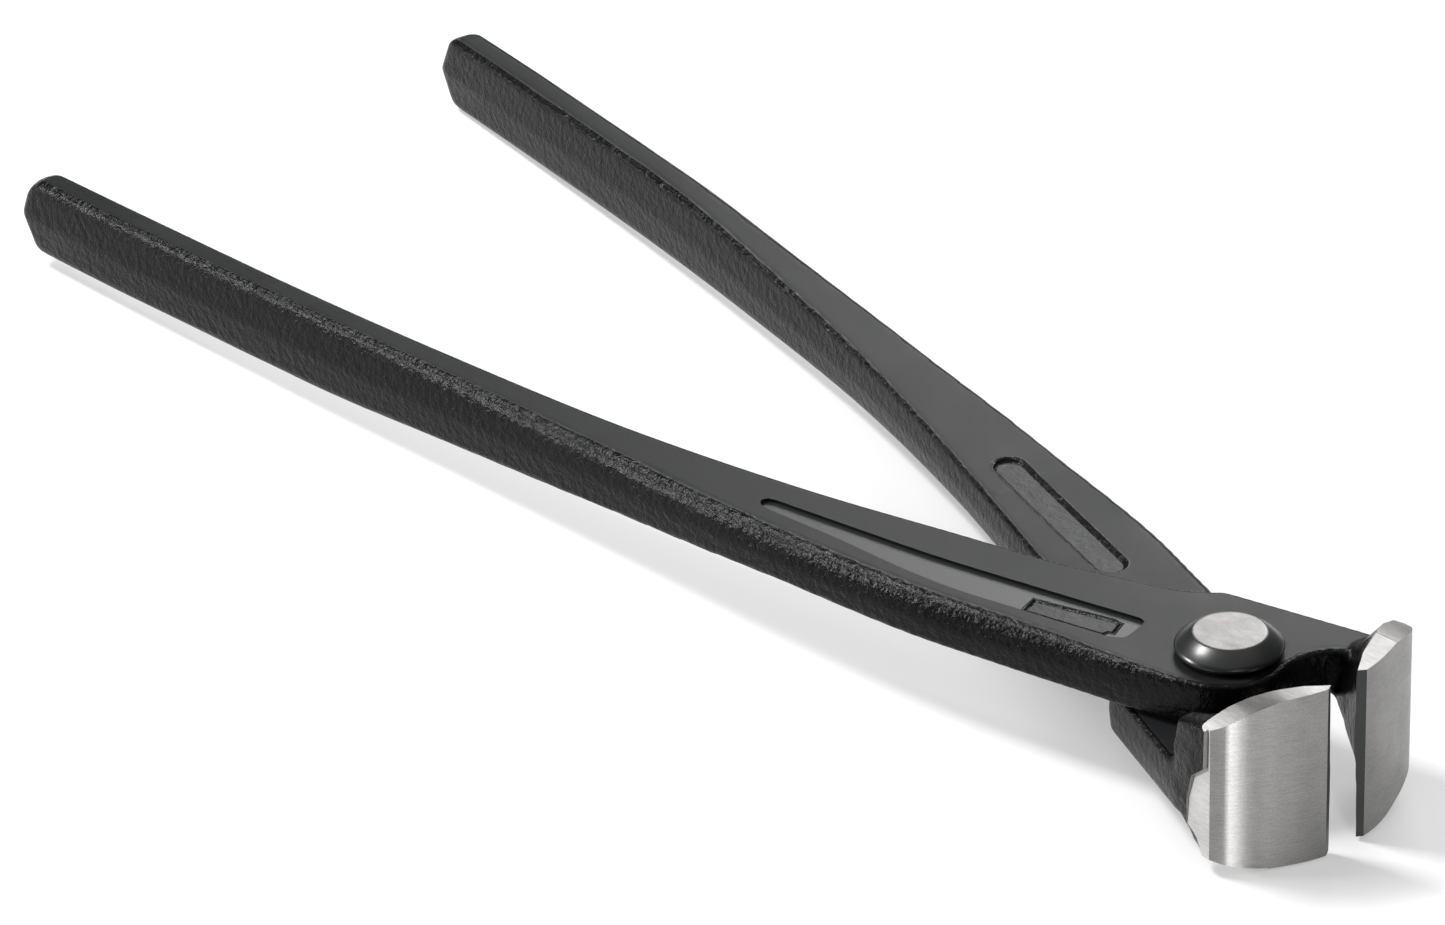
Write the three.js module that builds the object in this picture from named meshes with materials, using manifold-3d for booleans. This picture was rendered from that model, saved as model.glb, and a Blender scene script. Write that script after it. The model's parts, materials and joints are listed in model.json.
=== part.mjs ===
// End-cutting nippers, 250 mm nominal: two forged levers laid on each other and held by one rivet.
// Frame: +Z is the rivet's axis, +X points from the rivet to the jaws. Millimetres.
import * as THREE from "three";
import { mergeVertices } from "three/addons/utils/BufferGeometryUtils.js";
import Module from "manifold-3d";

const wasm = await Module();
wasm.setup();

// Driving dimensions
const REST_ANGLE = 4.84; // degrees that each lever stands away from closed
const PLATE = 6.8; // thickness of a lever where the two lie on each other
const GRIP_DROP = 5.2; // how far a handle reaches past the joint plane, so a grip is 12 mm thick
const JOINT_GAP = 0.15; // from the joint plane to each lever's lapped face
const JAW_HALF = 12.7; // half of the cutting edge's length
const EDGE_ROUND = 1.4; // rounding of the forged edges
const RELIEF_START = -66; // where the lapped face begins to fall away towards the grip
const RELIEF_END = -153; // where the grip has its full thickness
const TIP = -223.7; // handle end
const GRIP_OUTER = 23.4; // outer edge of the grip from the centre line, closed
const GRIP_INNER = 17.2; // inner edge of the grip from the centre line, closed
const TIP_ROUND = 2.4;
const TIP_NOSE = 4.5; // how far the handle end is rounded back above and below
const HOLE = 5.0; // radius of the rivet hole
const RIVET = { shank: 4.6, neck: 6.7, rim: 7.25, face: 4.9, rimZ: 7.7, neckZ: 7.1, faceZ: 9.85 };
const POCKET_DEPTH = 0.6;
const BEVEL_START = { plate: 9, far: 10.5 }; // where each jaw corner's ground bevel begins
const BEVEL_SLOPE = { plate: 0.32, far: 0.62 };
const CURVE_STEPS = 3; // segments per outline point
const ROUND_STEPS = 48; // segments round the rivet and its hole

// Plan outline of a lever in its closed place, handle on the -Y side and jaw on the +Y side.
const OUTER_EDGE = [
  [-200, -23.4], [-160, -22.7], [-130, -21.9], [-100, -21.3], [-72, -20.9],
  [-44, -18.9], [-27, -16], [-14, -13.4], [-4, -11.4], [3.4, -9.2],
];
const WINDOW_EDGE = [
  [3.4, -9.2], [7.6, -5.4], [8.8, -1], [8.1, 2.8], [8.4, 6.3], [9.6, 8.8], [11.6, 10.4], [14.5, 11.4],
];
const SHOULDER_EDGE = [
  [-12.4, 10.1], [-15.3, 7.9], [-18.4, 6.4], [-25.2, 4.1], [-33.3, 1.4], [-46.8, -1.7],
  [-72, -7.4], [-103, -12.2], [-135, -14.8], [-165, -16.3], [-200, -17],
];

// Jaw section: the ground front, then the back from the far end to the plate's face.
const EDGE_LAND = [[21.5, 0.1], [22.48, 1.45]];
const JAW_FRONT = [
  [22.3, 3.2], [21.9, 5.2], [21.2, 7.6], [20.4, 10], [19.5, 12.6], [18.4, 14.8], [17, 16.3],
];
const JAW_BACK = {
  end: [[16.4, 16.2], [16.2, 15.2], [16.6, 12.6], [17.3, 10], [18.6, 6.8], [20.1, 3.4]],
  far: [[16, 16.4], [15.4, 15.4], [15.9, 12.6], [16.8, 10], [18.2, 6.8], [19.9, 3.4]],
  boss: [[13.4, 16.7], [10.2, 16.2], [9.6, 14.2], [11.4, 11.9], [17, 7.2], [19.8, 3.4]],
  below: [[13.3, 16.8], [9.6, 16.4], [8.6, 14.4], [10.2, 11.6], [15.6, 7.4], [19.2, 3.4]],
  joint: [[13.5, 16.8], [10, 16.3], [7.6, 14.6], [8.2, 11], [10.6, 8.8], [15.5, 5.1]],
  plate: [[14.6, 16.8], [11.5, 16.5], [10.4, 14.5], [10.8, 12], [12.9, 9.8], [16.8, 4.9]],
};

// Recess in a lever's outer face, with the raised blank label in it, and the slot in its lapped face.
const POCKET_TOP = [[-71.5, -12.6], [-57, -10.3], [-45, -8.3], [-30, -5], [-14.2, -1.3]];
const POCKET_BOTTOM = [[-11.8, -7.6], [-15, -9.2], [-26.6, -11.6], [-36.7, -13.8], [-46, -14.8], [-58, -15.2], [-71, -16.1]];
const LABEL = [[-29, -10.8], [-14.4, -8.1], [-13.2, -6.6], [-14.6, -2.6], [-16, -2.1], [-29, -5.2]];
const SLOT = { from: [-66.6, -13.1], to: [-37.2, -8.4], radius: 2.2 };

const vectors = (points) => points.map(([x, y]) => new THREE.Vector2(x, y));

// A closed geometry as a manifold solid.
function solid(geometry) {
  const bare = geometry.index ? geometry.toNonIndexed() : geometry.clone();
  bare.deleteAttribute("normal");
  bare.deleteAttribute("uv");
  const merged = mergeVertices(bare, 1e-4);
  return new wasm.Manifold(
    new wasm.Mesh({
      numProp: 3,
      vertProperties: merged.attributes.position.array,
      triVerts: new Uint32Array(merged.index.array),
    }),
  );
}

// A manifold solid as a geometry.
function geometryOf(made) {
  const { vertProperties, triVerts } = made.getMesh();
  const geometry = new THREE.BufferGeometry();
  geometry.setAttribute("position", new THREE.BufferAttribute(vertProperties, 3));
  geometry.setIndex(new THREE.BufferAttribute(triVerts, 1));
  geometry.computeVertexNormals();
  return geometry;
}

// An outline standing from z = low to z = high, its long edges rounded by `round`.
function prism(shape, low, high, round = 0) {
  const geometry = new THREE.ExtrudeGeometry(shape, {
    depth: high - low - 2 * round,
    curveSegments: CURVE_STEPS,
    bevelEnabled: round > 0,
    bevelSize: round,
    bevelThickness: round,
    bevelOffset: -round,
    bevelSegments: 2,
  });
  return solid(geometry.translate(0, 0, low + round));
}

// A solid drawn side-on as [x, z] points and as wide as `half` each way along Y.
function sideCut(points, half) {
  const geometry = new THREE.ExtrudeGeometry(new THREE.Shape(vectors(points)), {
    depth: 2 * half,
    bevelEnabled: false,
  });
  return solid(geometry.rotateX(Math.PI / 2).translate(0, half, 0));
}

// A solid through sections of equal point counts, each { z, points }, from the lowest up.
function loft(sections) {
  const count = sections[0].points.length;
  const position = sections.flatMap(({ z, points }) => points.flatMap(([x, y]) => [x, y, z]));
  const index = [];
  for (let level = 0; level + 1 < sections.length; level++)
    for (let i = 0; i < count; i++) {
      const a = level * count + i;
      const b = level * count + ((i + 1) % count);
      index.push(a, b, b + count, a, b + count, a + count);
    }
  const top = (sections.length - 1) * count;
  for (const [a, b, c] of THREE.ShapeUtils.triangulateShape(vectors(sections[0].points), []))
    index.push(a, c, b);
  for (const [a, b, c] of THREE.ShapeUtils.triangulateShape(vectors(sections.at(-1).points), []))
    index.push(top + a, top + b, top + c);
  const geometry = new THREE.BufferGeometry();
  geometry.setAttribute("position", new THREE.Float32BufferAttribute(position, 3));
  geometry.setIndex(index);
  return solid(geometry);
}

function leverOutline() {
  const shape = new THREE.Shape();
  shape.moveTo(TIP, -GRIP_INNER - TIP_ROUND);
  shape.lineTo(TIP, -GRIP_OUTER + TIP_ROUND);
  shape.absarc(TIP + TIP_ROUND, -GRIP_OUTER + TIP_ROUND, TIP_ROUND, Math.PI, Math.PI * 1.5);
  shape.splineThru(vectors(OUTER_EDGE));
  shape.splineThru(vectors(WINDOW_EDGE.slice(1)));
  shape.lineTo(13, 16.8);
  shape.lineTo(9.6, 16.4);
  shape.lineTo(-9.2, 11.8);
  shape.quadraticCurveTo(-11.4, 11.2, ...SHOULDER_EDGE[0]);
  shape.splineThru(vectors(SHOULDER_EDGE.slice(1)));
  shape.absarc(TIP + TIP_ROUND, -GRIP_INNER - TIP_ROUND, TIP_ROUND, Math.PI / 2, Math.PI);
  return shape;
}

// What is taken off below the joint plane so that the other lever's plate fits there.
function lapRelief() {
  const under = -3 * GRIP_DROP;
  const gripFace = -GRIP_DROP - 0.2;
  return sideCut(
    [[RELIEF_END, gripFace], [RELIEF_END, under], [60, under], [60, JOINT_GAP], [RELIEF_START, JOINT_GAP]],
    60,
  );
}

// What the rounded end of the handle leaves off above and below, seen from the side.
function tipNose() {
  const middle = (PLATE - GRIP_DROP) / 2;
  const half = (PLATE + GRIP_DROP) / 2;
  const turns = [0, 18, 36, 54, 72, 90].map(THREE.MathUtils.degToRad);
  const [above, below] = [1, -1].map((side) => {
    const beyond = middle + side * (half + 1);
    const arc = turns.map((turn) => [
      TIP + TIP_NOSE * (1 - Math.cos(turn)), middle + side * half * Math.sin(turn),
    ]);
    return sideCut([[TIP - 1, middle], ...arc, [TIP + TIP_NOSE, beyond], [TIP - 1, beyond]], 60);
  });
  return above.add(below);
}

function jawBlock() {
  const section = (z, back) => ({ z, points: [...EDGE_LAND, ...JAW_FRONT, ...back] });
  return loft([
    section(-JAW_HALF, JAW_BACK.end),
    section(-9, JAW_BACK.far),
    section(-7.4, JAW_BACK.boss),
    section(-3.2, JAW_BACK.below),
    section(0, JAW_BACK.joint),
    section(PLATE - 0.4, JAW_BACK.plate),
    section(JAW_HALF, JAW_BACK.end),
  ]);
}

// The ground bevel on a jaw's outer corner: side 1 is the plate's side, side -1 the far side.
function cornerBevel(side) {
  const where = side > 0 ? "plate" : "far";
  const start = BEVEL_START[where];
  const reach = 12;
  const drop = BEVEL_SLOPE[where] * reach;
  const heights = [[0, 0], [reach, -drop], [reach, 2], [0, 2]];
  const shape = new THREE.Shape(vectors(heights.map(([y, z]) => [start + y, side * (JAW_HALF + z)])));
  const geometry = new THREE.ExtrudeGeometry(shape, { depth: 40, bevelEnabled: false });
  const stand = new THREE.Matrix4().makeBasis(
    new THREE.Vector3(0, 1, 0), new THREE.Vector3(0, 0, 1), new THREE.Vector3(1, 0, 0),
  );
  return solid(geometry.applyMatrix4(stand));
}

function rivetHole() {
  const geometry = new THREE.CylinderGeometry(HOLE, HOLE, 4 * PLATE, ROUND_STEPS);
  return solid(geometry.rotateX(Math.PI / 2));
}

// The recess in the outer face, with the blank label left standing in it.
function pocket() {
  const outline = new THREE.Shape();
  outline.moveTo(...POCKET_TOP[0]);
  outline.splineThru(vectors(POCKET_TOP.slice(1)));
  outline.lineTo(...POCKET_BOTTOM[0]);
  outline.splineThru(vectors(POCKET_BOTTOM.slice(1)));
  outline.quadraticCurveTo(-74, -14.8, ...POCKET_TOP[0]);
  const label = new THREE.Shape(vectors(LABEL));
  const floor = PLATE - POCKET_DEPTH;
  return prism(outline, floor, PLATE + 1).subtract(prism(label, floor - 1, PLATE - 0.15));
}

// The round-ended slot in the lapped face, its floor parallel to the joint plane.
function slot() {
  const { from, to, radius } = SLOT;
  const along = Math.atan2(to[1] - from[1], to[0] - from[0]);
  const shape = new THREE.Shape();
  shape.absarc(...to, radius, along - Math.PI / 2, along + Math.PI / 2);
  shape.absarc(...from, radius, along + Math.PI / 2, along + Math.PI * 1.5);
  return prism(shape, -3, JOINT_GAP + POCKET_DEPTH);
}

function lever() {
  const blank = prism(leverOutline(), -GRIP_DROP, PLATE, EDGE_ROUND).subtract(lapRelief());
  const forged = blank.add(jawBlock());
  const cuts = [tipNose(), cornerBevel(1), cornerBevel(-1), rivetHole(), pocket(), slot()];
  return cuts.reduce((body, cut) => body.subtract(cut), forged);
}

function rivet() {
  const { shank, neck, rim, face, rimZ, neckZ, faceZ } = RIVET;
  const half = [[shank, neckZ], [neck, neckZ], [rim, rimZ], [rim - 0.35, rimZ + 0.7], [face, faceZ]];
  const lower = half.map(([r, z]) => [r, -z]).reverse();
  const profile = [[0, -faceZ], ...lower, ...half, [0, faceZ]];
  return new THREE.LatheGeometry(vectors(profile), ROUND_STEPS).rotateX(Math.PI / 2);
}

const FORGED = new THREE.MeshStandardMaterial({ color: 0x2b2c2e, roughness: 0.5, metalness: 0.6 });
const GROUND = new THREE.MeshStandardMaterial({ color: 0x9a9a98, roughness: 0.35, metalness: 1 });

function part(name, geometry, material) {
  const mesh = new THREE.Mesh(geometry, material);
  mesh.name = name;
  return mesh;
}

const upper = part("upper_lever", geometryOf(lever()), FORGED);
upper.rotation.z = THREE.MathUtils.degToRad(REST_ANGLE);
const lower = part("lower_lever", geometryOf(lever()), FORGED);
lower.rotation.set(Math.PI, 0, THREE.MathUtils.degToRad(-REST_ANGLE), "ZYX");
const pivot = part("pivot_rivet", rivet(), GROUND);

const nippers = new THREE.Group();
nippers.add(upper, lower, pivot);
nippers.position.z = RIVET.faceZ;

export default nippers;
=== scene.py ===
"""Dresses the end-cutting nippers: forged levers with ground jaws, the rivet, and the studio."""

import json
import math

import bmesh
import bpy
from mathutils import Matrix, Vector


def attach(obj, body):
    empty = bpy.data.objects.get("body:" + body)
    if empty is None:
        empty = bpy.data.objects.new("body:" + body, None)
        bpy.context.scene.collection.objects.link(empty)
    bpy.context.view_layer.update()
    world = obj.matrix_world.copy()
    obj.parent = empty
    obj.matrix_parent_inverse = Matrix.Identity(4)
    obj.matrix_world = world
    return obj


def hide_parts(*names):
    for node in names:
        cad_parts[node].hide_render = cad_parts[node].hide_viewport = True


bl_info = {
    "name": "End-Cutting Nippers",
    "version": (1, 0, 0),
    "blender": (4, 5, 0),
    "location": "3D View > Sidebar > Nippers",
    "description": "Forged levers with ground jaws, a coned rivet and a pale studio",
    "category": "Object",
}

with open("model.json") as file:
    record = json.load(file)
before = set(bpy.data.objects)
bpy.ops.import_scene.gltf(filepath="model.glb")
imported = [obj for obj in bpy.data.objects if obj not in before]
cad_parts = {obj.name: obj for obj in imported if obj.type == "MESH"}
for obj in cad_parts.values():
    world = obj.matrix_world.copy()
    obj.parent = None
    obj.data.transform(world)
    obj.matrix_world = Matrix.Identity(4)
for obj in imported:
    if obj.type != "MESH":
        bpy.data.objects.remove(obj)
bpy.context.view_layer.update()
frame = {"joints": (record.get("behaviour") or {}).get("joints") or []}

MM = 0.001
REST_ANGLE = math.radians(4.84)  # how far each lever stands away from closed
PIVOT = Vector(frame["joints"][0]["pos_m"])

# The lever as forged, in millimetres: closed, plate uppermost, handle on -Y and jaw on +Y.
PLATE = 6.8
GRIP_DROP = 5.2
JOINT_GAP = 0.15
RELIEF_START = -66
RELIEF_END = -153
KNEE = 10  # half the length over which the lapped face bends away
TIP = -223.7
TIP_ROUND = 2.4
TIP_NOSE = 4.5  # how far the handle's end is rounded back above and below
TIP_NOSE_LENGTH = 12  # how far along the handle that rounding reaches
DRAFT = (0.45, 0.25)  # how far the sides stand out at the parting line: grip, plate
# Rounding of the long edges, at the grip and at the plate.
OUTER_ROUND = (1.6, 2.6)
INNER_ROUND = (1.3, 0.6)
LAPPED_ROUND = (1.3, 0.45)
OUTER_DROP = (2.1, 1.22)  # height of the outer edge's rounding as a share of its width
# Where the rounding changes from the grip's to the plate's: start, end and knee along X.
EDGE_CHANGE = (-150, -105, 20)
INNER_CHANGE = (-95, -35, 15)
OUTER_FADE = (-22, 2, 6)  # where the outer edge's rounding shrinks to the inner edge's
# The line that parts the outer edge from the inner one: a point on it, and its slope.
MIDDLE = (-14, -8)
MIDDLE_SLOPE = 0.0645
# The lever's rings from the lapped face to the outer face: the side, and degrees round its edge.
RING_TURNS = [
    (-1, 90), (-1, 62), (-1, 35), (-1, 8), (0, 0), (1, 8), (1, 25), (1, 42), (1, 58), (1, 74), (1, 90),
]
JAW_HALF = 12.7
HOLE = 5.0
HOLE_SIDES = 48
OUTER_EDGE = [
    (TIP + TIP_ROUND, -23.4), (-200, -23.4), (-160, -22.7), (-130, -21.9), (-100, -21.3), (-72, -20.9),
    (-44, -18.9), (-27, -16), (-14, -13.4), (-4, -11.4), (3.4, -9.2),
]
WINDOW_EDGE = [(7.6, -5.4), (8.8, -1), (8.1, 2.8), (8.4, 6.3), (9.6, 8.8), (11.6, 10.4), (14.5, 11.4)]
JAW_SIDE = [(13, 16.8), (9.6, 16.4)]
SHOULDER_EDGE = [
    (-9.2, 11.8), (-11.2, 11.2), (-12.4, 10.1), (-15.3, 7.9), (-18.4, 6.4), (-25.2, 4.1), (-33.3, 1.4),
    (-46.8, -1.7), (-72, -7.4), (-103, -12.2), (-135, -14.8), (-165, -16.3), (-200, -17),
    (TIP + TIP_ROUND, -17.2),
]

# The jaw as forged: its front stands proud of the ground profile, its back is drafted.
GRIND_ALLOWANCE = 0.7
ROUGH_EDGE = (22.6, -0.5)
EDGE = (21.5, 0.1)
LAND = (22.48, 1.45)
JAW_FRONT = [(22.3, 3.2), (21.9, 5.2), (21.2, 7.6), (20.4, 10), (19.5, 12.6), (18.4, 14.8), (17, 16.3)]
BACK_END = [(16.4, 16.2), (16.2, 15.2), (16.6, 12.6), (17.3, 10), (18.6, 6.8), (20.1, 3.4)]
BACK_JOINT = [(13.5, 16.8), (10, 16.3), (7.6, 14.6), (8.2, 11), (10.6, 8.8), (15.5, 5.1)]
BACK_PLATE = [(14.6, 16.8), (11.5, 16.5), (10.4, 14.5), (10.8, 12), (12.9, 9.8), (16.8, 4.9)]
BACK_BELOW = [(13.3, 16.8), (9.6, 16.4), (8.6, 14.4), (10.2, 11.6), (15.6, 7.4), (19.2, 3.4)]
BACK_BOSS = [(13.4, 16.7), (10.2, 16.2), (9.6, 14.2), (11.4, 11.9), (17, 7.2), (19.8, 3.4)]
BACK_FAR = [(16, 16.4), (15.4, 15.4), (15.9, 12.6), (16.8, 10), (18.2, 6.8), (19.9, 3.4)]
# How high each end of the cutting edge is ground along Y: the plate's side, then the far side.
JAW_ENDS = {
    1: [(-9, 12.68), (7.5, 12.65), (9.5, 12.5), (11.7, 12.05), (14, 11.4), (16, 10.6), (20, 8.6)],
    -1: [
        (-9, 12.6), (1, 12.4), (5, 12.35), (8, 12.05), (11, 11.3), (12.6, 10.7), (14.3, 9.9), (16.2, 8.9),
        (20, 6.7),
    ],
}
# The ground flank: where it starts along X at each height, and its plane, a point and a fall over X.
FLANK_STARTS = ((-13.5, 16.7), (-3, 16.5), (-0.8, 14), (3, 13), (14, 12.6))
FLANK_POINT = (9, 16.75)
FLANK_RUN = 15

FORGED, GROUND, LANDED, PRESSED, ENDS = range(5)  # material places of a lever

# Recesses: the long pocket in the outer face with its blank label, and the slot in the lapped face.
POCKET_TOP = [(-71.5, -12.6), (-57, -10.3), (-45, -8.3), (-30, -5), (-14.2, -1.3)]
POCKET_END = [(-12.9, -1.6), (-12.3, -2.7), (-11.6, -6.6), (-12.3, -7.8), (-13.6, -8.6)]
POCKET_BOTTOM = [
    (-15, -9.2), (-26.6, -11.6), (-36.7, -13.8), (-46, -14.8), (-58, -15.2), (-66, -15.8), (-70.6, -16.1),
    (-72.5, -15.6), (-73.3, -14.4), (-72.8, -13.1),
]
LABEL = [
    (-27.2, -10.3), (-15.6, -7.6), (-15.4, -6.7), (-14.7, -6.4), (-15.6, -4.1), (-16.6, -4.1), (-28, -7.4),
]
LABEL_MARGIN = 0.45  # how far the raised panel stands out round the label's outline
LABEL_TOP = 6.42  # height of the panel's face
LABEL_RINGS = [(-0.1, 5), (0, 6.3), (0.15, LABEL_TOP)]  # the panel's bevel, inset and height
LABEL_DEPTH = 0.3
SLOT = ((-66.6, -13.1), (-37.2, -8.4), 2.2)
POCKET_DEPTH = 0.55

# The rivet, radius and height above the joint plane.
RIVET_HEAD = [(4.6, 6.0), (4.6, 7.1), (6.6, 7.1), (7.0, 7.25), (7.25, 7.7), (7.2, 8.0), (6.95, 8.35)]
RIVET_FACE = [(5.1, 9.75), (4.85, 9.85)]
RIVET_FACE_RINGS = (4.6, 3.4, 1.8)
RIVET_SIDES = 128

# The studio. Softboxes: azimuth and elevation in degrees, distance and size in metres, power in watts.
SOFTBOXES = {
    "back_softbox": (127, 33, 1.6, (0.75, 0.7), 15.5),
    "overhead_softbox": (0, 90, 1.8, (2.5, 2.5), 10),
    "rim_strip": (-152, 54, 1.4, (0.3, 0.3), 18),
    "side_strip": (-133, 20, 1.3, (0.3, 0.15), 12),
    "front_strip": (-24, 11, 1.4, (0.28, 0.5), 15),
}
WORLD_STRENGTH = 0.12
FLOOR_HALF = 4  # metres
FLOOR_GAP = 0.0002  # metres between the floor and the tool
FLOOR_GLOW = 0.34
SENSOR_WIDTH = 36
LENS = 174.4


# ---------------------------------------------------------------- settings
class ForgingSettings(bpy.types.PropertyGroup):
    colour: bpy.props.FloatVectorProperty(
        name="Black oxide", description="Colour of the forged levers", subtype="COLOR",
        size=3, min=0, max=1, default=(0.011, 0.0115, 0.012),
    )
    voxel: bpy.props.FloatProperty(
        name="Forging detail", description="Edge of the cells that the forged surface is drawn with",
        unit="LENGTH", min=0.0002, max=0.002, default=0.00042,
    )
    softness: bpy.props.IntProperty(
        name="Edge softness", description="Smoothing passes over the forged edges",
        min=0, max=40, default=5,
    )
    pebble: bpy.props.FloatProperty(
        name="Pebble size", description="Size of the scale marks on the forged sides",
        unit="LENGTH", min=0.0002, max=0.004, default=0.0011,
    )


class GroundSettings(bpy.types.PropertyGroup):
    colour: bpy.props.FloatVectorProperty(
        name="Ground steel", description="Colour of the ground jaws and the rivet's flat",
        subtype="COLOR", size=3, min=0, max=1, default=(0.40, 0.395, 0.388),
    )
    grain: bpy.props.FloatProperty(
        name="Grain length", description="Length of a grinding scratch",
        unit="LENGTH", min=0.0005, max=0.02, default=0.002,
    )


class StudioSettings(bpy.types.PropertyGroup):
    floor: bpy.props.FloatVectorProperty(
        name="Floor", description="Colour of the floor", subtype="COLOR",
        size=3, min=0, max=1, default=(0.5, 0.5, 0.5),
    )
    azimuth: bpy.props.FloatProperty(
        name="Camera azimuth", description="Direction of the camera from the tool, from +X towards +Y",
        subtype="ANGLE", default=math.radians(-37.92),
    )
    elevation: bpy.props.FloatProperty(
        name="Camera elevation", description="Height of the camera as an angle",
        subtype="ANGLE", default=math.radians(29.15),
    )
    roll: bpy.props.FloatProperty(
        name="Camera roll", description="Turn of the camera about its own axis",
        subtype="ANGLE", default=math.radians(-1.72),
    )
    distance: bpy.props.FloatProperty(
        name="Camera distance", description="Distance from the camera to its aim point",
        unit="LENGTH", default=0.913,
    )
    aim: bpy.props.FloatVectorProperty(
        name="Camera aim", description="Point on the camera's axis, from the pivot at the joint plane",
        subtype="XYZ", unit="LENGTH", size=3, default=(-0.05245, -0.04166, 0.02828),
    )


# ---------------------------------------------------------------- outlines
def spline(points, step=1.2):
    """Points every step millimetres along a smooth curve through points."""
    out = []
    last = len(points) - 1
    for i in range(last):
        p0, p1, p2, p3 = (Vector(points[min(max(i + k, 0), last)]) for k in (-1, 0, 1, 2))
        count = max(2, round((p2 - p1).length / step))
        for k in range(count):
            t = k / count
            out.append(
                0.5 * (2 * p1 + (p2 - p0) * t + (2 * p0 - 5 * p1 + 4 * p2 - p3) * t * t
                       + (3 * p1 - p0 - 3 * p2 + p3) * t ** 3)
            )
    return out + [Vector(points[-1])]


def arc(centre, radius, start, end, count=7):
    """Points on an arc, angles in degrees, both ends included."""
    turn = [math.radians(start + (end - start) * k / (count - 1)) for k in range(count)]
    return [Vector((centre[0] + radius * math.cos(a), centre[1] + radius * math.sin(a))) for a in turn]


def lever_outline():
    low = OUTER_EDGE[0][1] + TIP_ROUND
    high = SHOULDER_EDGE[-1][1] - TIP_ROUND
    x = TIP + TIP_ROUND
    tip = arc((x, high), TIP_ROUND, 90, 180)[1:] + arc((x, low), TIP_ROUND, 180, 270)[:-1]
    body = spline(OUTER_EDGE + WINDOW_EDGE) + [Vector(p) for p in JAW_SIDE] + spline(SHOULDER_EDGE)
    return tip + body


def inset(points, distances):
    """A closed outline, counterclockwise, with each point moved inwards by its distance."""
    out = []
    for i, (p, distance) in enumerate(zip(points, distances)):
        a = (p - points[i - 1]).normalized()
        b = (points[(i + 1) % len(points)] - p).normalized()
        normal = Vector((-a.y - b.y, a.x + b.x)).normalized()
        out.append(p + normal * (distance / max(0.5, normal.dot(Vector((-a.y, a.x))))))
    return out


def evenly_inset(points, distance):
    return inset(points, [distance] * len(points))


def climb(x, start, end, knee):
    """0 before start and 1 after end, straight between, with knees rounded over knee each way."""
    def area(u):
        v = min(max(u - start, 0), end - start)
        return v * v / (2 * (end - start)) + max(0, u - end)

    return (area(x + knee) - area(x - knee)) / (2 * knee)


# ---------------------------------------------------------------- mesh making
def new_object(name, mesh):
    obj = bpy.data.objects.new(name, mesh)
    bpy.context.scene.collection.objects.link(obj)
    return obj


def skin(name, rings, slots=None, cap=0):
    """A closed object through rings of equal counts of (x, y, z) points in millimetres.

    slots gives each side strip's material place, counted from the strip that follows point 0.
    """
    count = len(rings[0])
    bm = bmesh.new()
    verts = [[bm.verts.new(Vector(p) * MM) for p in ring] for ring in rings]
    for low, high in zip(verts, verts[1:]):
        for i in range(count):
            j = (i + 1) % count
            face = bm.faces.new((low[i], low[j], high[j], high[i]))
            face.material_index = slots[i] if slots else 0
    for ring in (verts[0], verts[-1]):
        bm.faces.new(ring).material_index = cap
    bmesh.ops.recalc_face_normals(bm, faces=bm.faces)
    mesh = bpy.data.meshes.new(name)
    bm.to_mesh(mesh)
    bm.free()
    return new_object(name, mesh)


def prism(name, outline, low, high, slots=None):
    return skin(name, [[(p[0], p[1], z) for p in outline] for z in (low, high)], slots)


def apply_modifiers(obj):
    bpy.context.view_layer.objects.active = obj
    for modifier in list(obj.modifiers):
        bpy.ops.object.modifier_apply(modifier=modifier.name)


def combine(obj, other, operation):
    """Adds or takes away other, which takes on obj's materials and is then deleted."""
    for material in obj.data.materials:
        other.data.materials.append(material)
    modifier = obj.modifiers.new("combine", "BOOLEAN")
    modifier.operation = operation
    modifier.solver = "MANIFOLD"
    modifier.object = other
    apply_modifiers(obj)
    bpy.data.objects.remove(other)


# ---------------------------------------------------------------- the forging
def lapped_face(x):
    """Height of the lever's lower face: the joint plane at the plate, falling away to the grip."""
    return -GRIP_DROP + (GRIP_DROP + JOINT_GAP) * climb(x, RELIEF_END, RELIEF_START, KNEE)


def edge_finish(p, side):
    """Width and height of the long edge's rounding at p, and the draft; side 1 is the plate's face."""
    plate = climb(p.x, *EDGE_CHANGE)
    outer = p.y < MIDDLE[1] + MIDDLE_SLOPE * (p.x - MIDDLE[0])
    if side < 0:
        grip, head = LAPPED_ROUND
    elif outer:
        grip, head = OUTER_ROUND
    else:
        grip, head = INNER_ROUND
        plate = climb(p.x, *INNER_CHANGE)
    fade = climb(p.x, *OUTER_FADE) if outer and side > 0 else 0
    radius = grip + (head - grip) * plate
    radius += (INNER_ROUND[1] - radius) * fade
    drop = OUTER_DROP[0] + (OUTER_DROP[1] - OUTER_DROP[0]) * plate if outer and side > 0 else 1
    return radius, radius * drop, DRAFT[0] + (DRAFT[1] - DRAFT[0]) * plate


def blank_rings():
    """Rings of the handle and plate: edges rounded, sides drafted to the parting line, nosed end."""
    outline = lever_outline()
    rings = []
    for side, angle in RING_TURNS:
        turn = math.radians(angle)
        heights = []
        insets = []
        for p in outline:
            low = lapped_face(p.x)
            radius, drop, draft = edge_finish(p, side)
            reach = (PLATE - low) / 2 - drop * (1 - math.sin(turn))
            heights.append(((PLATE + low) / 2 + side * reach, side * reach * 2 / (PLATE - low)))
            insets.append(abs(side) * (draft + radius * (1 - math.cos(turn))))
        ring = []
        for p, (z, share) in zip(inset(outline, insets), heights):
            nearness = max(0, 1 - (p.x - TIP) / TIP_NOSE_LENGTH)
            nose = TIP_NOSE * (1 - math.sqrt(max(0, 1 - share * share))) * nearness
            ring.append((p.x + nose, p.y, z))
        rings.append(ring)
    return rings


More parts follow.
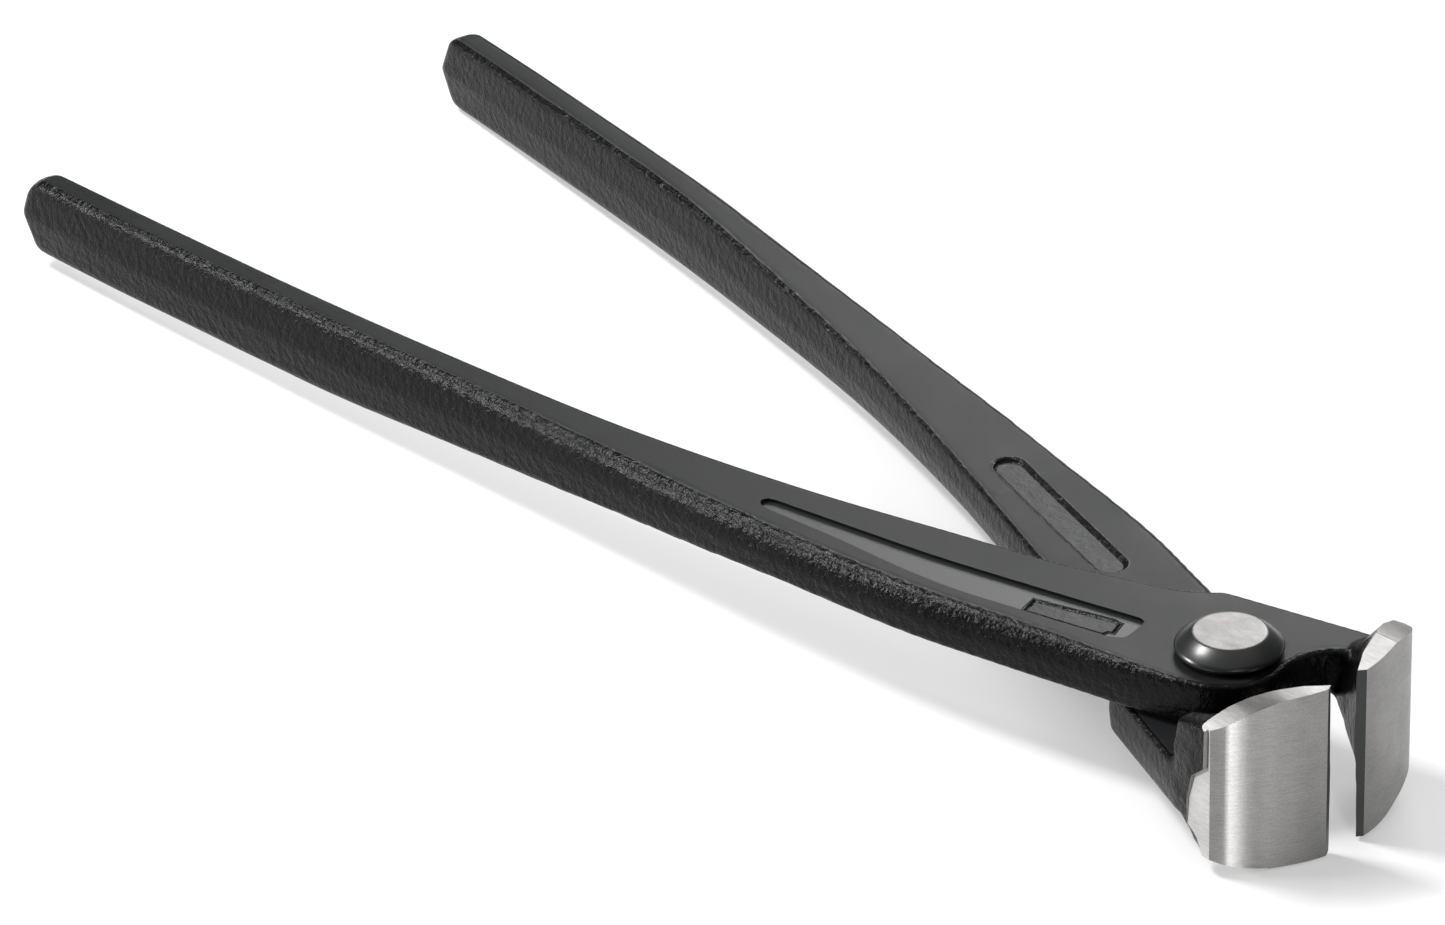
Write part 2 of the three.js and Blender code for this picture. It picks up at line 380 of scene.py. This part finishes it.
def jaw_rings():
    """Rings of the rough jaw, proud of the ground profile by the grinding allowance."""
    rough = [Vector(p) for p in (EDGE, LAND, *JAW_FRONT)]
    front = []
    for i, p in enumerate(rough):
        a = rough[max(i - 1, 0)]
        b = rough[min(i + 1, len(rough) - 1)]
        along = (b - a).normalized()
        front.append(p + Vector((along.y, -along.x)) * GRIND_ALLOWANCE)
    front[0] = Vector(ROUGH_EDGE)
    over = JAW_HALF + GRIND_ALLOWANCE
    levels = [
        (-over, BACK_END), (-9, BACK_FAR), (-7.4, BACK_BOSS), (-3.2, BACK_BELOW), (0, BACK_JOINT),
        (PLATE - 0.4, BACK_PLATE), (over, BACK_END),
    ]
    return [[(p[0], p[1], z) for p in [*front, *back]] for z, back in levels]


def slice_across(obj, start, end, step=2):
    """Cuts obj's faces across X every step millimetres, so that a bent face bends evenly."""
    bm = bmesh.new()
    bm.from_mesh(obj.data)
    for k in range(round((end - start) / step)):
        everything = [*bm.verts, *bm.edges, *bm.faces]
        at = Vector(((start + k * step) * MM, 0, 0))
        bmesh.ops.bisect_plane(bm, geom=everything, dist=1e-7, plane_co=at, plane_no=(1, 0, 0))
    bm.to_mesh(obj.data)
    bm.free()


def rough_forging(name, detail, softness):
    """One lever as it leaves the die: one skin with rounded edges and filleted corners."""
    obj = skin(name, blank_rings())
    slice_across(obj, RELIEF_END - KNEE, RELIEF_START + KNEE)
    combine(obj, skin("jaw_rough", jaw_rings()), "UNION")
    remesh = obj.modifiers.new("skin", "REMESH")
    remesh.mode = "VOXEL"
    remesh.voxel_size = detail
    apply_modifiers(obj)
    smooth = obj.modifiers.new("edges", "SMOOTH")
    smooth.factor = 0.5
    smooth.iterations = softness
    root = obj.vertex_groups.new(name="jaw_root")
    inner = [v.index for v in obj.data.vertices if is_jaw_root(v.co / MM)]
    root.add(inner, 1, "REPLACE")
    fillet = obj.modifiers.new("fillets", "SMOOTH")
    fillet.factor = 0.5
    fillet.iterations = 5 * softness
    fillet.vertex_group = root.name
    apply_modifiers(obj)
    obj.vertex_groups.clear()
    flat = [v for v in obj.data.vertices if abs(v.normal.z) > 0.98]
    for vert in flat:
        for level in (PLATE, JOINT_GAP):
            if abs(vert.co.z / MM - level) < 0.05:
                vert.co.z = level * MM
    return obj


def is_jaw_root(p):
    """True where the plate runs into the jaw, whose corners the die leaves well rounded."""
    return 5 < p.x < 18 and -4 < p.y < 13.5 and -9 < p.z < PLATE + 2.5 and p.x - 0.35 * p.y < 13.5


def pocket_outline():
    return spline(POCKET_TOP) + spline(POCKET_END, 0.5) + spline(POCKET_BOTTOM)


def label_outline():
    return [Vector(p) for p in LABEL]


def slot_outline():
    (ax, ay), (bx, by), radius = SLOT
    turn = math.degrees(math.atan2(by - ay, bx - ax))
    fore = arc((bx, by), radius, turn - 90, turn + 90, 13)
    rear = arc((ax, ay), radius, turn + 90, turn + 270, 13)
    return fore + spline([fore[-1], rear[0]])[1:-1] + rear + spline([rear[-1], fore[0]])[1:-1]


def press(name, outline, height, depth=POCKET_DEPTH):
    """A punch that leaves a recess with a rounded lip, drafted walls and a filleted floor.

    height gives the pressed face's height from X; the punch comes from above if depth is positive.
    The fillet meets the floor at an angle that crisp() keeps, so the floor is shaded flat.
    """
    side = 1 if depth > 0 else -1
    deep = abs(depth)
    wall = [(-0.6, 0.5), (-0.6, 0.01), (-0.34, -0.04), (-0.12, -0.14), (0.02, -0.28)]
    root = [(0.12, -deep + 0.15), (0.24, -deep + 0.06), (0.38, -deep)]
    rings = []
    for distance, z in wall + root:
        rings.append([(p.x, p.y, height(p.x) + side * z) for p in evenly_inset(outline, distance)])
    count = len(outline)
    return skin(name, rings, [PRESSED] * count, PRESSED)


# ---------------------------------------------------------------- grinding
def grind_front(obj):
    """Grinds the front profile and the land beside the cutting edge."""
    beyond = Vector(EDGE) + (Vector(EDGE) - Vector(LAND)) * 1.1
    profile = spline([LAND, *JAW_FRONT], 0.6)
    outside = [Vector(p) for p in ((19.5, 19.5), (32, 18), (32, -8))]
    outline = [beyond, Vector(EDGE), *profile, *outside]
    slots = [LANDED, LANDED] + [GROUND] * (len(outline) - 2)
    cutter = prism("front_wheel", outline, -20, 20, slots)
    combine(obj, cutter, "DIFFERENCE")


def grind_ends(obj):
    """Grinds both ends of the cutting edge, curving down to the outer corner."""
    for side, curve in JAW_ENDS.items():
        profile = [*spline(curve, 0.8), Vector((20, 20)), Vector((-9, 20))]
        section = [[(x, p.x, side * p.y) for p in profile] for x in (0, 40)]
        combine(obj, skin("end_wheel", section, [ENDS] * len(profile)), "DIFFERENCE")


def grind_flank(obj):
    """Grinds a narrow flat on the jaw's flank, running out towards the far end."""
    rings = []
    for z, start in FLANK_STARTS:
        plane = [(x, FLANK_POINT[1] - (x - FLANK_POINT[0]) / FLANK_RUN) for x in (start, 24)]
        rings.append([(x, y, z) for x, y in [*plane, (26, 24), (start - 1.5, 24)]])
    combine(obj, skin("flank_wheel", rings, [GROUND] * 4), "DIFFERENCE")


def drill(obj):
    circle = arc((0, 0), HOLE, 0, 360 - 360 / HOLE_SIDES, HOLE_SIDES)
    combine(obj, prism("drill", circle, -12, 12, [LANDED] * HOLE_SIDES), "DIFFERENCE")


# ---------------------------------------------------------------- materials
def nodes_of(name):
    material = bpy.data.materials.get(name) or bpy.data.materials.new(name)
    material.use_nodes = True
    tree = material.node_tree
    return material, tree, tree.nodes["Principled BSDF"]


def add_node(tree, kind, **values):
    """A node with its properties set by name and its unlinked inputs by their labels."""
    node = tree.nodes.new(kind)
    for key, value in values.items():
        if key in node.bl_rna.properties:
            setattr(node, key, value)
        else:
            node.inputs[key.replace("_", " ")].default_value = value
    return node


def noise(tree, vector, scale, detail=4.0, roughness=0.55):
    node = add_node(tree, "ShaderNodeTexNoise", Scale=scale, Detail=detail, Roughness=roughness)
    tree.links.new(vector, node.inputs["Vector"])
    return node.outputs["Fac"]


def ramp(tree, value, low, high, out_low=0.0, out_high=1.0, kind="LINEAR"):
    node = add_node(tree, "ShaderNodeMapRange", interpolation_type=kind)
    limits = {"From Min": low, "From Max": high, "To Min": out_low, "To Max": out_high}
    for label, number in limits.items():
        node.inputs[label].default_value = number
    tree.links.new(value, node.inputs["Value"])
    return node.outputs["Result"]


def maths(tree, operation, a, b):
    node = add_node(tree, "ShaderNodeMath", operation=operation)
    for socket, value in zip(node.inputs, (a, b)):
        if isinstance(value, (int, float)):
            socket.default_value = value
        else:
            tree.links.new(value, socket)
    return node.outputs[0]


def bump(tree, height, strength, distance, before=None):
    node = add_node(tree, "ShaderNodeBump", Strength=strength, Distance=distance)
    tree.links.new(height, node.inputs["Height"])
    if before:
        tree.links.new(before, node.inputs["Normal"])
    return node.outputs["Normal"]


def tint(tree, factor, low, high):
    node = add_node(tree, "ShaderNodeMix", data_type="RGBA")
    tree.links.new(factor, node.inputs[0])
    node.inputs[6].default_value = (*low, 1)
    node.inputs[7].default_value = (*high, 1)
    return node.outputs[2]


def multiplied(tree, a, b):
    node = add_node(tree, "ShaderNodeMix", data_type="RGBA", blend_type="MULTIPLY")
    node.inputs[0].default_value = 1
    tree.links.new(a, node.inputs[6])
    tree.links.new(b, node.inputs[7])
    return node.outputs[2]


def scaled(colour, factor):
    return tuple(min(1, c * factor) for c in colour)


def forged_material(settings, name, pressed=False):
    """Black oxide: satin on the flats, pebbled scale on the sides or, if pressed, everywhere, with painted
    shade darkening the sides.
    """
    material, tree, shader = nodes_of(name)
    place = add_node(tree, "ShaderNodeTexCoord")
    here = place.outputs["Object"]
    axis = add_node(tree, "ShaderNodeSeparateXYZ")
    tree.links.new(place.outputs["Normal"], axis.inputs[0])
    upright = maths(tree, "ABSOLUTE", axis.outputs["Z"], 0)
    side = ramp(tree, upright, 0.955, 0.997, 1, 0.35 if pressed else 0, "SMOOTHSTEP")
    pebble = 1 / settings.pebble
    coarse = noise(tree, here, pebble, 2, 0.5)
    fine = noise(tree, here, pebble * 2.7, 3, 0.6)
    satin = noise(tree, here, 1500, 4, 0.6)
    cloud = noise(tree, here, 60, 5, 0.6)
    scale_height = maths(tree, "ADD", coarse, maths(tree, "MULTIPLY", fine, 0.45))
    height = maths(tree, "MULTIPLY", scale_height, side)
    normal = bump(tree, height, 1.0, settings.pebble * 0.2)
    normal = bump(tree, satin, 0.14, 0.00005, normal)
    tree.links.new(normal, shader.inputs["Normal"])
    tone = 1.7 if pressed else 1
    dark, light = scaled(settings.colour, 0.8 * tone), scaled(settings.colour, 1.25 * tone)
    flat = tint(tree, ramp(tree, cloud, 0.35, 0.7), dark, light)
    # Painted shade: the sides' colour is darkened to a fifth, standing in for the shade they fall into,
    # and pressed flats a little too.
    painted_side_shade = tint(tree, side, (1, 1, 1), (0.2, 0.2, 0.2))
    tree.links.new(multiplied(tree, flat, painted_side_shade), shader.inputs["Base Color"])
    wear = maths(tree, "ADD", cloud, maths(tree, "MULTIPLY", satin, 0.5))
    roughness = ramp(tree, wear, 0.5, 1.0, 0.4, 0.5)
    roughness = maths(tree, "SUBTRACT", roughness, maths(tree, "MULTIPLY", side, 0.2))
    tree.links.new(roughness, shader.inputs["Roughness"])
    shader.inputs["Specular IOR Level"].default_value = 0.12
    return material


def ground_material(settings, name, grain, painted_lightness=1.0):
    """Bare ground steel; grain gives the scratch density along X, Y and Z. Each copy is darkened by a
    factor, which on the ends and the rivet's flat is painted shade.
    """
    material, tree, shader = nodes_of(name)
    place = add_node(tree, "ShaderNodeTexCoord")
    stretch = add_node(tree, "ShaderNodeMapping")
    stretch.inputs["Scale"].default_value = grain
    tree.links.new(place.outputs["Object"], stretch.inputs["Vector"])
    scratches = noise(tree, stretch.outputs[0], 1 / settings.grain, 4, 0.7)
    speckle = noise(tree, place.outputs["Object"], 4500, 3, 0.6)
    mottle = noise(tree, place.outputs["Object"], 300, 4, 0.6)
    normal = bump(tree, scratches, 0.3, 0.00002)
    normal = bump(tree, speckle, 0.25, 0.00001, normal)
    tree.links.new(normal, shader.inputs["Normal"])
    # The lightness factor darkens this copy of the steel; on the ends and the rivet's flat it is painted
    # shade.
    steel = scaled(settings.colour, painted_lightness)
    worn = maths(tree, "MULTIPLY", scratches, 0.55)
    worn = maths(tree, "ADD", worn, maths(tree, "MULTIPLY", speckle, 0.45))
    colour = tint(tree, ramp(tree, worn, 0.35, 0.65), scaled(steel, 0.8), scaled(steel, 1.2))
    tree.links.new(colour, shader.inputs["Base Color"])
    shader.inputs["Metallic"].default_value = 1
    tree.links.new(ramp(tree, mottle, 0.3, 0.7, 0.34, 0.42), shader.inputs["Roughness"])
    if grain[2] > 1:
        across = add_node(tree, "ShaderNodeTangent", direction_type="RADIAL", axis="Z")
        tree.links.new(across.outputs[0], shader.inputs["Tangent"])
        shader.inputs["Anisotropic"].default_value = 0.9
        shader.inputs["Anisotropic Rotation"].default_value = 0.25
    return material


def land_material(settings):
    """The smooth dark land beside the cutting edge, and the bored hole."""
    material, tree, shader = nodes_of("blackened_land")
    place = add_node(tree, "ShaderNodeTexCoord")
    stretch = add_node(tree, "ShaderNodeMapping")
    stretch.inputs["Scale"].default_value = (1, 1, 0.15)
    tree.links.new(place.outputs["Object"], stretch.inputs["Vector"])
    streak = noise(tree, stretch.outputs[0], 2500, 4, 0.6)
    tree.links.new(bump(tree, streak, 0.15, 0.00004), shader.inputs["Normal"])
    dark = scaled(settings.colour, 1.4)
    shader.inputs["Specular IOR Level"].default_value = 0.3
    tree.links.new(tint(tree, streak, scaled(dark, 0.9), scaled(dark, 1.15)), shader.inputs["Base Color"])
    tree.links.new(ramp(tree, streak, 0.3, 0.7, 0.36, 0.46), shader.inputs["Roughness"])
    return material


def rivet_flank_material(settings):
    """Smooth satin black of the rivet head's cone."""
    material, tree, shader = nodes_of("rivet_black")
    place = add_node(tree, "ShaderNodeTexCoord")
    satin = noise(tree, place.outputs["Object"], 1400, 4, 0.6)
    cloud = noise(tree, place.outputs["Object"], 150, 4, 0.6)
    tree.links.new(bump(tree, satin, 0.12, 0.00004), shader.inputs["Normal"])
    colour = tint(tree, cloud, scaled(settings.colour, 0.7), scaled(settings.colour, 1.1))
    tree.links.new(colour, shader.inputs["Base Color"])
    tree.links.new(ramp(tree, cloud, 0.3, 0.7, 0.24, 0.36), shader.inputs["Roughness"])
    return material


def add_materials(obj):
    scene = bpy.context.scene
    obj.data.materials.append(forged_material(scene.nippers_forging, "black_oxide_forging"))
    obj.data.materials.append(ground_material(scene.nippers_ground, "ground_steel", (1, 1, 14), 0.76))
    obj.data.materials.append(land_material(scene.nippers_forging))
    obj.data.materials.append(forged_material(scene.nippers_forging, "pressed_oxide", True))
    # The ends are a darker copy of the ground steel: painted shade on the top facets.
    obj.data.materials.append(ground_material(scene.nippers_ground, "ground_ends_painted_shade", (1, 5, 1), 0.36))


# ---------------------------------------------------------------- pieces
def crisp(obj, ground_angle=16, forged_angle=40):
    """Smooth shading that stops at the border of ground steel and at corners."""
    bm = bmesh.new()
    bm.from_mesh(obj.data)
    for face in bm.faces:
        face.smooth = True
    for edge in bm.edges:
        kinds = {face.material_index for face in edge.link_faces}
        limit = forged_angle if kinds == {FORGED} else ground_angle
        edge.smooth = len(kinds) == 1 and edge.calc_face_angle(0) < math.radians(limit)
    bm.to_mesh(obj.data)
    bm.free()


def place(obj, flipped):
    """Puts a lever made closed in its place: turned over if flipped, opened, and on the pivot."""
    turn = Matrix.Rotation(math.pi, 4, "X") if flipped else Matrix.Identity(4)
    opened = Matrix.Rotation(-REST_ANGLE if flipped else REST_ANGLE, 4, "Z")
    obj.data.transform(Matrix.Translation(PIVOT) @ opened @ turn)


def press_recesses(obj):
    """Presses the pocket with its blank label into the outer face, and the slot into the lapped face."""
    pad = evenly_inset(label_outline(), -LABEL_MARGIN)
    pocket = press("pocket_punch", pocket_outline(), lambda x: PLATE)
    raised = [[(p.x, p.y, z) for p in evenly_inset(pad, d)] for d, z in LABEL_RINGS]
    combine(pocket, skin("label_pad", raised, [PRESSED] * len(pad), PRESSED), "DIFFERENCE")
    combine(obj, pocket, "DIFFERENCE")
    combine(obj, press("label_punch", label_outline(), lambda x: LABEL_TOP, LABEL_DEPTH), "DIFFERENCE")
    combine(obj, press("slot_punch", slot_outline(), lapped_face, -POCKET_DEPTH), "DIFFERENCE")


def make_lever():
    settings = bpy.context.scene.nippers_forging
    obj = rough_forging("lever_blank", settings.voxel, settings.softness)
    obj.data.materials.clear()
    add_materials(obj)
    press_recesses(obj)
    grind_front(obj)
    grind_ends(obj)
    grind_flank(obj)
    drill(obj)
    crisp(obj)
    return obj


class NIPPERS_OT_levers(bpy.types.Operator):
    """Make both levers from one forging"""

    bl_idname = "nippers.levers"
    bl_label = "Levers"

    def execute(self, context):
        upper = make_lever()
        upper.name = "upper_lever_forging"
        lower = new_object("lower_lever_forging", upper.data.copy())
        levers = ((upper, "upper_lever", "upper", False), (lower, "lower_lever", "lower", True))
        for obj, node, body, flipped in levers:
            place(obj, flipped)
            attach(obj, body)
            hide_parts(node)
        return {"FINISHED"}


class NIPPERS_OT_rivet(bpy.types.Operator):
    """Make the rivet with its two coned heads"""

    bl_idname = "nippers.rivet"
    bl_label = "Rivet"

    def execute(self, context):
        scene = context.scene
        half = spline(RIVET_HEAD[2:], 0.25) + spline(RIVET_FACE, 0.1)
        flank = [Vector(RIVET_HEAD[0]), Vector(RIVET_HEAD[1]), *half]
        face = [Vector((r, RIVET_FACE[1][1])) for r in RIVET_FACE_RINGS]
        turned = [Vector((r, -z)) for r, z in reversed(flank + face)]
        profile = turned + flank + face
        spin = [2 * math.pi * k / RIVET_SIDES for k in range(RIVET_SIDES)]
        rings = [[(r * math.cos(a), r * math.sin(a), z) for a in spin] for r, z in profile]
        obj = skin("rivet_with_heads", rings)
        obj.data.materials.append(rivet_flank_material(scene.nippers_forging))
        # The rivet's flat is a darker copy of the ground steel: painted shade.
        flat = ground_material(scene.nippers_ground, "rivet_flat_painted_shade", (1, 2, 1), 0.27)
        obj.data.materials.append(flat)
        top = (RIVET_FACE[1][1] - 0.02) * MM
        for polygon in obj.data.polygons:
            polygon.material_index = 1 if abs(polygon.center.z) > top else 0
        obj.data.transform(Matrix.Translation(PIVOT))
        crisp(obj, 40)
        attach(obj, "lower")
        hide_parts("pivot_rivet")
        return {"FINISHED"}


# ---------------------------------------------------------------- studio
def camera_axes(settings):
    """The camera's right, up and back directions."""
    back = Vector((
        math.cos(settings.azimuth) * math.cos(settings.elevation),
        math.sin(settings.azimuth) * math.cos(settings.elevation),
        math.sin(settings.elevation),
    ))
    right = Vector((-math.sin(settings.azimuth), math.cos(settings.azimuth), 0))
    up = back.cross(right)
    turn = Matrix.Rotation(settings.roll, 3, back)
    return turn @ right, turn @ up, back


def make_camera(settings):
    data = bpy.data.cameras.new("studio_camera")
    data.sensor_width = SENSOR_WIDTH
    data.lens = LENS
    data.clip_end = 20
    camera = new_object("studio_camera", data)
    right, up, back = camera_axes(settings)
    at = PIVOT + Vector(settings.aim) + back * settings.distance
    axes = Matrix((right, up, back)).transposed().to_4x4()
    camera.matrix_world = Matrix.Translation(at) @ axes
    bpy.context.scene.camera = camera


def make_floor(settings):
    """A wide pale floor, tilted to touch both jaws and the lower lever's handle end."""
    front = Vector((0.02, 0, PIVOT.z - JAW_HALF * MM))
    rear = Vector((TIP * MM, 0, PIVOT.z - PLATE * MM))
    slope = math.atan2(rear.z - front.z, front.x - rear.x)
    mesh = bpy.data.meshes.new("studio_floor")
    corners = [(x * FLOOR_HALF, y * FLOOR_HALF, 0) for x, y in ((-1, -1), (1, -1), (1, 1), (-1, 1))]
    mesh.from_pydata(corners, [], [(0, 1, 2, 3)])
    floor = new_object("studio_floor", mesh)
    under = Matrix.Translation(front - Vector((0, 0, FLOOR_GAP)))
    floor.matrix_world = under @ Matrix.Rotation(slope, 4, "Y")
    material, tree, shader = nodes_of("pale_floor")
    shader.inputs["Base Color"].default_value = (*settings.floor, 1)
    shader.inputs["Roughness"].default_value = 0.9
    shader.inputs["Specular IOR Level"].default_value = 0.1
    shader.inputs["Emission Color"].default_value = (1, 1, 1, 1)
    shader.inputs["Emission Strength"].default_value = FLOOR_GLOW
    floor.data.materials.append(material)


def make_softbox(name, azimuth, elevation, distance, size, power):
    """A rectangular area light that looks at the pivot; angles in degrees, lengths in metres."""
    data = bpy.data.lights.new(name, "AREA")
    data.shape = "RECTANGLE"
    data.size, data.size_y = size
    data.energy = power
    light = new_object(name, data)
    a, e = math.radians(azimuth), math.radians(elevation)
    direction = Vector((math.cos(a) * math.cos(e), math.sin(a) * math.cos(e), math.sin(e)))
    light.location = PIVOT + direction * distance
    light.visible_camera = False
    light.rotation_euler = direction.to_track_quat("Z", "Y").to_euler()


class NIPPERS_OT_studio(bpy.types.Operator):
    """Set up the floor, the lights and the camera"""

    bl_idname = "nippers.studio"
    bl_label = "Studio"

    def execute(self, context):
        settings = context.scene.nippers_studio
        world = bpy.data.worlds.new("studio_world")
        world.use_nodes = True
        background = world.node_tree.nodes["Background"]
        background.inputs["Color"].default_value = (1, 1, 1, 1)
        background.inputs["Strength"].default_value = WORLD_STRENGTH
        context.scene.world = world
        context.scene.view_settings.view_transform = "Standard"
        make_floor(settings)
        for name, values in SOFTBOXES.items():
            make_softbox(name, *values)
        make_camera(settings)
        return {"FINISHED"}


class NIPPERS_PT_panel(bpy.types.Panel):
    bl_label = "End-Cutting Nippers"
    bl_idname = "NIPPERS_PT_panel"
    bl_space_type = "VIEW_3D"
    bl_region_type = "UI"
    bl_category = "Nippers"

    def draw(self, context):
        layout = self.layout
        for name in SETTINGS:
            settings = getattr(context.scene, name)
            box = layout.box()
            for key in settings.bl_rna.properties.keys():
                if key not in {"rna_type", "name"}:
                    box.prop(settings, key)
        for operator in OPERATORS:
            layout.operator(operator.bl_idname)


SETTINGS = {
    "nippers_forging": ForgingSettings,
    "nippers_ground": GroundSettings,
    "nippers_studio": StudioSettings,
}
OPERATORS = (NIPPERS_OT_levers, NIPPERS_OT_rivet, NIPPERS_OT_studio)


def register():
    for name, settings in SETTINGS.items():
        bpy.utils.register_class(settings)
        setattr(bpy.types.Scene, name, bpy.props.PointerProperty(type=settings))
    for cls in (*OPERATORS, NIPPERS_PT_panel):
        bpy.utils.register_class(cls)


def unregister():
    for cls in (NIPPERS_PT_panel, *reversed(OPERATORS)):
        bpy.utils.unregister_class(cls)
    for name, settings in SETTINGS.items():
        delattr(bpy.types.Scene, name)
        bpy.utils.unregister_class(settings)


def main():
    register()
    bpy.ops.nippers.studio()
    bpy.ops.nippers.levers()
    bpy.ops.nippers.rivet()


if __name__ == "__main__":
    main()
